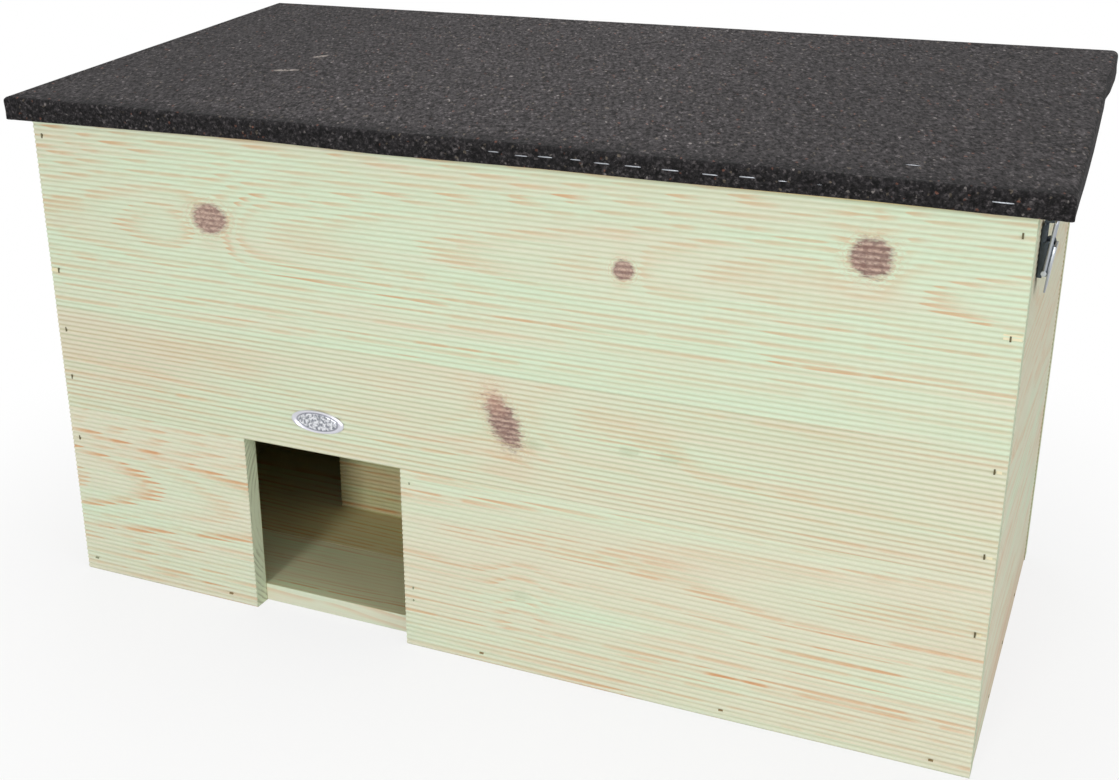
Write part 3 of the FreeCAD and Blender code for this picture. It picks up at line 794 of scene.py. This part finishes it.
# two side walls round the pin and the loop's ends, and a web between them that ends in a finger lip
def latchLever(side):
    (tipX, tipZ), outer, sheet, brim = latch["tip"], latch["outer"], latch["sheet"], latch["brim"]
    low, high = np.array([tipX + latch["tipRadius"] + latch["webOff"], tipZ]), np.array(latch["corner"])
    run = (high - low) / np.linalg.norm(high - low)
    inward = latch["web"] * np.array([-run[1], run[0]])
    wall = np.concatenate([arcOf(tipX, tipZ, latch["tipRadius"], 180, 340), [high + 0.9 * inward],
                           arcOf(latch["pivot"], 0, latch["pinRadius"], 0, 180)])
    end = low - latch["lip"] * run + np.array([latch["lipTurn"], 0.0])
    web = [high + inward, low + inward, end + 0.7 * inward, end, low, high]
    shells = [prism(wall, -outer, -outer + sheet), prism(wall, outer - sheet, outer), prism(web, -brim, brim)]
    points, faces = gather(shells)
    # the side walls take the dark zinc as painted shade, the web the paler zinc as a painted highlight
    finish = np.repeat([0, 0, 1], [len(shell[1]) for shell in shells])
    makePiece(side + "_latch_lever_pressed", (onWall(side, points), faces), [darkShadedZinc, highlightZinc],
              side + "_lever", side + "_latch_lever", 25.0, latch["leverEdge"], finish)


# a plate on the wall with a flange up each side, and an ear on each flange for the lever's pin; shells that
# overlap stand a little apart, so that they don't share a face
def latchBase(side):
    (low, high), (near, far, tall) = latch["base"], latch["flange"]
    apart, ear, foot = latch["apart"], latch["ear"], latch["earFoot"]
    outline = np.concatenate([[(foot, -ear)], arcOf(latch["pivot"], 0, ear, -90, 90), [(foot, ear)]])
    shells = [block((0.0, -far + apart, low + apart), (latch["plate"], far - apart, high - apart))]
    for a, b in ((-far, -near), (near, far)):
        shells += [block((0.0, a, low), (tall, b, high)), prism(outline, a + apart, b - apart)]
    points, faces = gather(shells)
    makePiece(side + "_latch_base_pressed", (onWall(side, points), faces), darkShadedZinc, "house",
              side + "_latch_base", 25.0, latch["baseEdge"])


# one wire: in through the lever's walls, round the feet, up the legs and across the head, with upset ends
def latchLoop(side):
    legs, foot, head, length = latch["legs"], latch["foot"], latch["head"], latch["length"]
    (tipX, tipZ), leanSin, leanCos = latch["tip"], math.sin(latch["lean"]), math.cos(latch["lean"])
    half = np.concatenate([[(-latch["inner"], 0.0)], arcOf(-legs + foot, foot, foot, -90, -180),
                           arcOf(-legs + head, length - head, head, 180, 90)])
    beside, up = np.concatenate([half, half[::-1] * [-1, 1]]).T
    path = np.stack([tipX + up * leanSin, beside, tipZ + up * leanCos], 1)
    wire, wireFaces = tube(path, (leanCos, 0, -leanSin), latch["wire"])
    paths = [[(tipX, sign * (legs + out), tipZ) for out in latch["rivetEnds"]] for sign in (-1, 1)]
    rivets = [tube(path, (1, 0, 0), latch["rivet"], 24) for path in paths]
    points, faces = gather([(wire, wireFaces), *rivets])
    finish = np.repeat([2, 1], [len(wireFaces), len(faces) - len(wireFaces)])
    heights = wire[np.array(wireFaces[:-2]), 2].mean(axis=1)
    finish[:len(heights)][heights > latch["highlightFrom"]] = 0  # the upper legs take the paler zinc as a painted highlight
    makePiece(side + "_latch_loop_wire", (onWall(side, points), faces), [highlightZinc, brightZinc, darkShadedZinc],
              side + "_loop", side + "_latch_loop", 60.0, finish=finish)


# screws: a head with a cross in it, its height a function of radius and angle, round or nearly flush
screw = {"radius": 2.3, "round": 1.1, "flush": 0.4, "cross": (0.30, 1.35), "deep": 0.5, "sunk": 0.05}


def screwHead(middle, first, second, height):
    radius = np.linspace(0.08, screw["radius"], 20)[:, None]
    angle = np.linspace(0, 2 * math.pi, 48, endpoint=False)
    u, v = radius * np.cos(angle), radius * np.sin(angle)
    narrow, wide = screw["cross"]
    recess = ((np.abs(u) < narrow) & (np.abs(v) < wide)) | ((np.abs(v) < narrow) & (np.abs(u) < wide))
    dome = height * (np.sqrt(np.clip(1.02 - (radius / screw["radius"]) ** 2, 0, 1)) - screw["deep"] * recess)
    first, second, middle = (np.array(value, float) for value in (first, second, middle))
    grid = middle + u[..., None] * first + v[..., None] * second + dome[..., None] * np.cross(first, second)
    return grid.reshape(-1, 3), closedFaces(*u.shape)[:-1]


hinge = {"at": 190.0, "half": 20.0, "knuckle": 2.75, "leaf": (3.05, 12.05), "thick": 1.2, "gap": 0.3,
         "join": 0.2, "screws": 13.0, "edge": 0.2}
lidAcross, lidDown = (1.0, 0.0, 0.0), (0.0, -slopeCos, -slopeSin)
axle = jointPlaces["lid_hinge"]
axleUp = (axle[1] - house["front"]) * slopeCos + (axle[2] - house["frontHeight"] - felt["seat"]) * slopeSin


# a butt hinge's leaves: a plate each, and knuckles that share the axle by thirds
def hingeLeaf(side, part):
    (near, far), half, thick = hinge["leaf"], hinge["half"], hinge["thick"]
    shells = [block((-half, near, -thick), (half, far, 0))]
    for k in (1,) if part == "lid" else (0, 2):
        low, high = (-half + (k + share) * 2 * half / 3 for share in (0, 1))
        low, high = low + (hinge["gap"] if k else 0), high - (hinge["gap"] if k < 2 else 0)
        path = [(low + share * (high - low), 0, -near) for share in (0, 0.5, 1)]
        shells += [tube(path, (0, 0, 1), hinge["knuckle"], 40),
                   block((low, 0, -thick), (high, near + hinge["join"], 0))]
    points, faces = gather(shells)
    at = signs[side] * hinge["at"]
    if part == "lid":
        points = onLid(points + [at, axleUp, 0])
    else:
        points = np.stack([at - points[:, 0], house["back"] - points[:, 2], axle[2] - points[:, 1]], 1) * mm
    node = "%s_hinge_%s_leaf" % (side, part)
    makePiece(node + "_rolled", (points, faces), brightZinc, "lid" if part == "lid" else "house",
              node, 25.0, hinge["edge"])


strike = {"out": 9.2, "up": 36 / slopeCos}  # where the strike's screw is, off the wall and up the lid
seated = latch["plate"] - screw["sunk"]
houseScrews, lidScrews = [], []
for side, sign in signs.items():
    latchBase(side)
    latchLever(side)
    latchLoop(side)
    hingeLeaf(side, "lid")
    hingeLeaf(side, "back")
    pivot = jointPlaces[side + "_lever_swing"]
    for z in latch["screws"]:
        middle = (sign * (house["halfWidth"] + seated), pivot[1], pivot[2] + z)
        houseScrews.append(screwHead(middle, (0, sign, 0), (0, 0, 1), screw["round"]))
    leafMiddle, leafFace = sum(hinge["leaf"]) / 2, hinge["thick"] - screw["sunk"]
    for x in (sign * hinge["at"] - hinge["screws"], sign * hinge["at"] + hinge["screws"]):
        middle = (x, house["back"] + leafFace, axle[2] - leafMiddle)
        houseScrews.append(screwHead(middle, (-1, 0, 0), (0, 0, 1), screw["flush"]))
        middle = onLid((x, axleUp + leafMiddle, -leafFace)) / mm
        lidScrews.append(screwHead(middle, lidAcross, lidDown, screw["flush"]))
    middle = onLid((sign * (house["halfWidth"] + strike["out"]), strike["up"], -seated)) / mm
    lidScrews.append(screwHead(middle, lidAcross, lidDown, screw["round"]))
for name, body, heads in (("wall_screws", "house", houseScrews), ("lid_screws", "lid", lidScrews)):
    points, faces = gather(heads)
    makePiece(name, (points * mm, faces), brightZinc, body, angle=40.0)
print("latches, hinges and screws made")

# staples: thin bright wire pressed into the felt, along the front as they were shot in, each with its place
# and how deep it sits, spaced evenly along the back, and one on top
staple = {"crown": 10.0, "bow": 0.35, "bend": 0.5, "wire": 0.35, "height": 7.8, "leg": 1.6,
          "front": ((4.3, 0.33), (20.0, 0.2), (35.5, 0.17), (49.2, 0.08), (66.5, 0.22), (81.0, 0.08),
                    (98.5, 0.06), (118.0, 0.06), (138.8, 0.12), (157.5, 0.1), (176.0, 0.27), (194.0, 0.32),
                    (280.0, -0.15)), "back": (-270, 270, 8), "backSunk": 0.05, "top": (233.3, 23.2, 0.72)}
stapleLook = zincMaterial("staple_wire", "#a4a7ad", 0.4)


# the bowed crown and two bent ends as a tube: run is the way it lies, and inward the way its legs go
def stapleShell(middle, run, inward):
    run, inward = np.array(run, float), np.array(inward, float)
    half, bend = staple["crown"] / 2, staple["bend"]
    crown = np.linspace(-half + bend, half - bend, 9)[1:-1]
    side = np.concatenate([[(-half, staple["leg"])], arcOf(-half + bend, bend, bend, 180, 270, 6)])
    flat = np.concatenate([side, np.stack([crown, 0 * crown], 1), side[::-1] * [-1, 1]])
    flat[:, 1] += staple["bow"] * (flat[:, 0] / half) ** 2
    path = np.array(middle, float) + flat[:, :1] * run + flat[:, 1:] * inward
    return tube(path, np.cross(run, inward), staple["wire"], 10)


def makeStaples():
    shift = np.random.default_rng(8).uniform(-1.0, 1.0, 40)
    across = (1, 0, 0)
    x, sunk = np.array(staple["front"]).T
    start = felt["half"] - felt["inset"] - felt["corners"][3]
    y = felt["front"] + felt["inset"] - feltSwell(x + start) + sunk
    z = staple["height"] + 0.6 * shift[:len(x)]
    shells = [stapleShell(middle, across, (0, 1, 0)) for middle in zip(x, y, z)]
    y = felt["back"] - felt["inset"] - staple["backSunk"]
    for x, lift in zip(np.linspace(*staple["back"]), shift[len(shells):]):
        shells.append(stapleShell((x, y, staple["height"] + lift), across, (0, -1, 0)))
    x, y, sunk = staple["top"]
    shells.append(stapleShell((x, y, felt["panel"] + felt["thick"] - sunk), across, (0, 0, -1)))
    points, faces = gather(shells)
    makePiece("felt_staples", (onLid(points), faces), stapleLook, "lid", angle=60.0)


makeStaples()

# oval plate over the entrance: blank stamped metal, where dabs of a hammer fill the middle and the raised
# rim is rubbed bright; its height is a function of radius and angle
plate = {"at": (-103.0, 141.0), "half": (18.35, 7.2), "thick": 0.8, "rim": 0.5, "groove": 0.35, "sunk": 0.1,
         "dab": 1.92308, "relief": 0.6}


def ovalPlate():
    (atX, atZ), (halfX, halfZ), thick = plate["at"], plate["half"], plate["thick"]
    share = np.array([0.05, 0.2, 0.35, 0.5, 0.6, 0.66, 0.70, 0.73, 0.76, 0.79, 0.82, 0.85, 0.88, 0.91, 0.94,
                      0.97, 0.99, 1.0, 1.0])
    rise = thick + plate["rim"] * np.exp(-((share - 0.90) / 0.06) ** 2)
    rise -= plate["groove"] * np.exp(-((share - 0.76) / 0.04) ** 2)
    rise[-3:] = thick * 0.9, thick * 0.6, -0.2
    angle = np.linspace(0, 2 * math.pi, 96, endpoint=False)
    x = atX + halfX * share[:, None] * np.cos(angle)
    z = atZ + halfZ * share[:, None] * np.sin(angle)
    y = house["front"] + plate["sunk"] - np.broadcast_to(rise[:, None], x.shape)
    shell = np.stack([x, y, z], -1).reshape(-1, 3) * mm, closedFaces(*x.shape)
    material, add = newMaterial("stamped_aluminium")
    place = add("TexCoord").outputs["Object"]
    dabs = add("TexNoise", place, 1 / (plate["dab"] * mm), 2.0, 0.6)
    middle = (atX * mm, house["front"] * mm, atZ * mm)
    ring = ellipse(add, place, middle, (halfX * mm, 1, halfZ * mm))
    inside = add("MapRange", ring, 0.80, 0.70, **smooth)
    dabbed = layer(add, linear("#878b92"), linear("#e2e3e7"), dabs, 0.38, 0.60)
    shade = add("Mix", inside, linear("#d4d4dc"), dabbed, **mixed)
    # a painted shade darkens the groove inside the rim
    offGroove = add("Math", add("Math", ring, 0.77, **minus), **absolute)
    shade = layer(add, shade, linear("#73767f"), offGroove, 0.05, 0.02, 0.6)
    height = add("Math", dabs, inside, **times)
    bump = add("Bump", named={"Height": height, "Strength": 0.6, "Distance": plate["relief"] * mm})
    setSurface(material, {"Base Color": shade, "Metallic": 0.9, "Roughness": 0.36, "Normal": bump})
    makePiece("oval_plate", shell, material, "house", angle=40.0)


ovalPlate()
print("staples and oval plate made")

# brads: oxidised wire heads sunk in the boards, upright slots in the corners and level ones along the floor,
# drawn flat; the darkest hold painted shade for their holes; a share is a height up a board
brads = {"size": (0.95, 3.0), "jamb": (0.7, 1.5), "floorSize": (2.6, 0.9), "deep": (0.02, 2.0),
         "jambAt": -41.5, "porch": [0.27, 0.34, 0.93], "floor": [-178.5, 4.5, 156.5, 275.0],
         "corner": (-288.0, 9.0), "shares": (0.25, 0.75),
         "left": [("front_lower_left_board", 0.82), ("front_middle_board", 0.31),
                  ("front_middle_board", 0.78), ("front_top_board", 0.2), ("front_top_board", 0.91)],
         "right": [("front_lower_right_board", 0.73), ("front_middle_board", 0.19),
                   ("front_middle_board", 0.87), ("front_top_board", 0.5), ("front_top_board", 0.92)]}
# pale chips at some of the brads: x from and to, z from and to, and how deep they lie
splinters = {"places": [(286.5, 295.5, 249.4, 252.2), (-295.5, -290.4, 212.6, 214.8),
                        (290.9, 293.6, 179.6, 181.2), (290.9, 294.0, 132.2, 133.6),
                        (290.9, 293.2, 87.0, 88.4)], "deep": (0.1, 1.5)}


def plainMaterial(name, colour, roughness):
    return setSurface(newMaterial(name)[0], {"Base Color": linear(colour), "Roughness": roughness})


# a head lies across the ribs with its face level with the crests, at a place along and up a facing
def bradHead(facing, along, up, wide, high):
    runAxis, upAxis, inAxis = ("XYZ".index(axis) for axis, sign, offset in facings[facing])
    sign, offset = facings[facing][2][1:]
    low, top = np.zeros(3), np.zeros(3)
    low[runAxis], top[runAxis] = along - wide / 2, along + wide / 2
    low[upAxis], top[upAxis] = up - high / 2, up + high / 2
    low[inAxis], top[inAxis] = sorted(sign * (deep - offset) for deep in brads["deep"])
    return block(low, top)


# a height in the part's frame, from a share of a board's height
def rowHeight(node, share):
    low, high = boxOf(node)
    return low[2] + share * (high[2] - low[2])


def makeBrads():
    edge, floorLine = house["halfWidth"] - house["board"] / 2, house["board"] / 2
    dark = [bradHead("front", x, rowHeight(node, share), *brads["size"])
            for column, x in (("left", -edge), ("right", edge)) for node, share in brads[column]]
    dark += [bradHead("back", x, rowHeight("back_%s_board" % row, share), *brads["size"])
             for row in rows for share in brads["shares"] for x in (-edge, edge)]
    rusty = [bradHead("front", x, floorLine, *brads["floorSize"]) for x in brads["floor"]]
    for facing in ("left", "right"):
        low, high = boxOf(facing + "_side_lower_board")
        rusty += [bradHead(facing, y, floorLine, *brads["floorSize"])
                  for y in np.linspace(low[1], high[1], 5)[1:-1]]
    faint = [bradHead("front", *brads["corner"], *brads["floorSize"])]
    faint += [bradHead("front", brads["jambAt"], rowHeight("front_lower_right_board", share), *brads["jamb"])
              for share in brads["porch"]]
    near, far = (house["front"] + deep for deep in splinters["deep"])
    chips = [block((left, near, low), (right, far, high)) for left, right, low, high in splinters["places"]]
    for name, heads, look, slot in (("brad_heads", dark, ("oxidised_brad_and_hole_shade", "#5a5230", 0.6), "zinc_steel"),
                                    ("floor_brads", rusty, ("rusted_brad", "#86714a", 0.7), "zinc_steel"),
                                    ("jamb_brads", faint, ("filled_brad", "#868b6c", 0.7), "zinc_steel"),
                                    ("pale_splinters", chips, ("fresh_pine", "#e4dcb9", 0.7), "pine_board")):
        points, faces = gather(heads)
        makePiece(name, (points * mm, faces), plainMaterial(*look), "house")


makeBrads()
print("brads made")


# one for a ray that shows the background or the floor: from the camera, off something glossy or through glass
def shownRays(add):
    rays = add("LightPath").outputs
    glossy = add("Math", rays["Is Glossy Ray"], rays["Is Transmission Ray"], operation="MAXIMUM")
    return add("Math", rays["Is Camera Ray"], glossy, operation="MAXIMUM")


# stage: pale floor, soft studio light and a white background; sizes here are in metres
stage = {"half": 6.0, "below": -0.0002, "grey": (0.75, 0.75, 0.75, 1.0), "rough": 0.9,
         "fade": (0.28, 0.60, 0.80, 1.0), "sky": (0.22, 1.0), "white": (1.0, 1.0, 1.0, 1.0)}
corners = [(x * stage["half"], y * stage["half"], stage["below"])
           for x, y in ((-1, -1), (1, -1), (1, 1), (-1, 1))]
floorMesh = newMesh("studio_floor", corners, [(0, 1, 2, 3)])
floorLook, add = newMaterial("pale_floor")
setSurface(floorLook, {"Base Color": stage["grey"], "Roughness": stage["rough"]})
reach = add("VectorMath", add("TexCoord").outputs["Object"], operation="LENGTH")
faded = add("Math", add("MapRange", reach, *stage["fade"], **smooth), shownRays(add), **times)
blank = add("Emission", stage["white"], 1.0)
floorNodes = floorLook.node_tree.nodes
blended = add("MixShader", faded, floorNodes["Principled BSDF"], blank)
feed(floorLook.node_tree, floorNodes["Material Output"].inputs["Surface"], blended)
floorMesh.materials.append(floorLook)
addObject("studio_floor", floorMesh)

# each light: place, target, size and power
lights = {"front_softbox": ((-0.08, -2.4, 0.70), (0.0, 0, 0.15), (0.45, 0.6), 22.0),
          "front_fill": ((0.95, -2.1, 1.55), (0.05, 0, 0.15), (1.6, 0.8), 7.8),
          "right_softbox": ((2.2, -0.9, 0.9), (0.2, 0, 0.2), (1.2, 1.2), 17.0),
          "rear_softbox": ((-1.6, 2.2, 0.30), (0, 0, 0.15), (1.6, 0.4), 30.0),
          "top_softbox": ((0.0, 0.1, 2.4), (0, 0, 0.3), (1.8, 1.4), 25.5)}
for name, (place, target, (wide, high), power) in lights.items():
    light = bpy.data.lights.new(name, "AREA")
    light.shape = "RECTANGLE"
    light.size, light.size_y = wide, high
    light.energy = power
    lamp = addObject(name, light)
    lamp.location = place
    lamp.rotation_euler = (Vector(target) - Vector(place)).to_track_quat("-Z", "Y").to_euler()

world = bpy.data.worlds.new("studio")
bpy.context.scene.world = world
world.use_nodes = True
world.node_tree.nodes.clear()
add = partial(addNode, world.node_tree)
sky = add("Background", stage["white"], add("MapRange", shownRays(add), 0.0, 1.0, *stage["sky"]))
add("OutputWorld", sky)

# camera: where the photograph was taken from, in millimetres and degrees, with its lens in pixels
view = {"wide": 1119, "high": 780, "focal": 1414.9561, "centre": (571.6134, 362.9989),
        "place": (342.827, -813.562, 474.606), "turn": (69.506068, -0.308424, 22.838578)}
camera = bpy.data.cameras.new("photo_camera")
camera.sensor_fit = "HORIZONTAL"
camera.sensor_width = 36.0
camera.lens = view["focal"] / view["wide"] * camera.sensor_width
camera.shift_x = (view["wide"] / 2 - view["centre"][0]) / view["wide"]
camera.shift_y = (view["centre"][1] - view["high"] / 2) / view["wide"]
camera.clip_start = 0.01
cameraObject = addObject("photo_camera", camera)
cameraObject.location = Vector(view["place"]) * mm
cameraObject.rotation_euler = [math.radians(angle) for angle in view["turn"]]
bpy.context.scene.camera = cameraObject
bpy.context.scene.view_settings.view_transform = "Standard"
print("stage and camera set")
